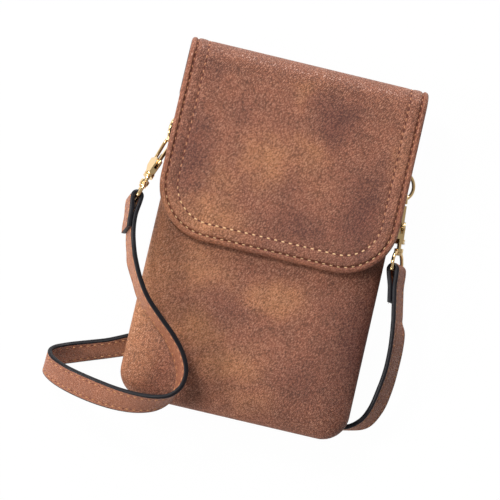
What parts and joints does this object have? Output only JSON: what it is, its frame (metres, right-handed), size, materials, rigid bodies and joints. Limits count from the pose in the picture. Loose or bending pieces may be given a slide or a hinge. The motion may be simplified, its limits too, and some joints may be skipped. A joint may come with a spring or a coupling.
{
  "type": "phone pouch",
  "caption": "Slim leather phone pouch with a flap that folds open over a magnet snap, and a crossbody strap clipped to side rings with swivel snap clasps.",
  "frame": {"origin": "on the table, under the middle of the pouch, on the lower edge of the wound strap", "axes": "+X across the pouch to its right as seen from the front, +Y towards the fold of the flap, +Z out of the front, up from the table"},
  "size_m": [0.1789, 0.1969, 0.0495],
  "materials": {
    "pouch_leather": "pebbled, mottled brown, satin",
    "dark_leather": "smooth dark brown",
    "strap_leather": "smooth brown with black painted edges",
    "padding": "thin foam",
    "lining_cloth": "plain woven lining",
    "board": "thin stiffening board",
    "gold_metal": "polished light gold plating",
    "pin_steel": "plain spring steel",
    "snap_steel": "nickel-plated steel"
  },
  "bodies": {
    "pouch": {"back_panel": "pouch_leather", "front_panel": "pouch_leather", "back_padding": "padding", "front_padding": "padding", "back_lining": "lining_cloth", "front_lining": "lining_cloth", "back_facing": "pouch_leather", "front_facing": "pouch_leather", "flap_tail": "pouch_leather", "flap_fold_back": "pouch_leather", "snap_magnet": "snap_steel", "snap_magnet_washer": "snap_steel", "left_ring_tab": "dark_leather", "right_ring_tab": "dark_leather", "left_strap_run": "strap_leather", "right_strap_run": "strap_leather", "strap_coil": "strap_leather"},
    "flap_fold": {"flap_top_strip": "pouch_leather", "flap_fold_front": "pouch_leather"},
    "flap": {"flap_outer": "pouch_leather", "flap_board": "board", "flap_lining": "dark_leather", "snap_stud": "snap_steel", "snap_stud_washer": "snap_steel"},
    "left_ring": {"left_ring": "gold_metal"},
    "left_clasp": {"left_claw": "gold_metal", "left_gate_pin": "pin_steel", "left_gate_spring": "pin_steel"},
    "left_gate": {"left_gate": "gold_metal"},
    "left_eye": {"left_eye": "gold_metal"},
    "left_strap_end": {"left_strap_end": "strap_leather"},
    "right_ring": {"right_ring": "gold_metal"},
    "right_clasp": {"right_claw": "gold_metal", "right_gate_pin": "pin_steel", "right_gate_spring": "pin_steel"},
    "right_gate": {"right_gate": "gold_metal"},
    "right_eye": {"right_eye": "gold_metal"},
    "right_strap_end": {"right_strap_end": "strap_leather"}
  },
  "joints": [
    {"name": "flap_fold_back_bend", "type": "hinge", "parent": "pouch", "child": "flap_fold", "pos_m": [0, 0.09004, 0.01496], "axis": [-1, 0, 0], "range_deg": [0, 90], "deforming": ["flap_fold_back", "flap_fold_front"]},
    {"name": "flap_fold_front_bend", "type": "hinge", "parent": "flap_fold", "child": "flap", "pos_m": [0, 0.09004, 0.03244], "axis": [-1, 0, 0], "range_deg": [0, 90], "deforming": ["flap_fold_front"]},
    {"name": "left_ring_hinge", "type": "hinge", "parent": "pouch", "child": "left_ring", "pos_m": [-0.0606, 0.0435, 0.0233], "axis": [0, -1, 0], "range_deg": [0, 40], "deforming": ["left_strap_run"]},
    {"name": "left_clasp_swing", "type": "hinge", "parent": "left_ring", "child": "left_clasp", "pos_m": [-0.0606, 0.0435, 0.0233], "axis": [-0.9205, 0, -0.3907], "range_deg": [-8, 5], "deforming": ["left_strap_run"]},
    {"name": "left_gate_lever", "type": "hinge", "parent": "left_clasp", "child": "left_gate", "pos_m": [-0.06527, 0.02475, 0.03245], "axis": [-0.8449, 0.3612, 0.3947], "range_deg": [0, 20], "stiffness_Nm_per_rad": 0.002, "springref_deg": -20.05, "deforming": ["left_gate_spring"]},
    {"name": "left_swivel", "type": "hinge", "parent": "left_clasp", "child": "left_eye", "pos_m": [-0.06877, 0.01637, 0.03262], "axis": [-0.2837, -0.9279, 0.2419], "range_deg": [-45, 45], "deforming": ["left_strap_run"]},
    {"name": "left_strap_end_turn", "type": "hinge", "parent": "left_eye", "child": "left_strap_end", "pos_m": [-0.07272, 0.00345, 0.03599], "axis": [-0.1373, -0.2104, -0.9679], "range_deg": [-10, 20], "deforming": ["left_strap_run"]},
    {"name": "right_ring_hinge", "type": "hinge", "parent": "pouch", "child": "right_ring", "pos_m": [0.0606, 0.0435, 0.0233], "axis": [0, 1, 0], "range_deg": [-16, 30], "deforming": ["right_strap_run"]},
    {"name": "right_clasp_swing", "type": "hinge", "parent": "right_ring", "child": "right_clasp", "pos_m": [0.0606, 0.0435, 0.0233], "axis": [0.5, 0, 0.866], "range_deg": [0, 50], "deforming": ["right_strap_run"]},
    {"name": "right_gate_lever", "type": "hinge", "parent": "right_clasp", "child": "right_gate", "pos_m": [0.06476, 0.02294, 0.02407], "axis": [-0.9921, -0.1043, 0.0698], "range_deg": [0, 20], "stiffness_Nm_per_rad": 0.002, "springref_deg": -20.05, "deforming": ["right_gate_spring"]},
    {"name": "right_swivel", "type": "hinge", "parent": "right_clasp", "child": "right_eye", "pos_m": [0.06552, 0.01416, 0.02186], "axis": [-0.1045, 0.9945, 0], "range_deg": [-4, 40], "deforming": ["right_strap_run"]},
    {"name": "right_strap_end_turn", "type": "hinge", "parent": "right_eye", "child": "right_strap_end", "pos_m": [0.06698, 0.00031, 0.02186], "axis": [-0.4045, -0.0425, 0.9135], "range_deg": [-3, 25], "deforming": ["right_strap_run"]}
  ],
  "couplings": [
    {"joint": "flap_fold_front_bend", "follows": "flap_fold_back_bend", "ratio": 1}
  ]
}
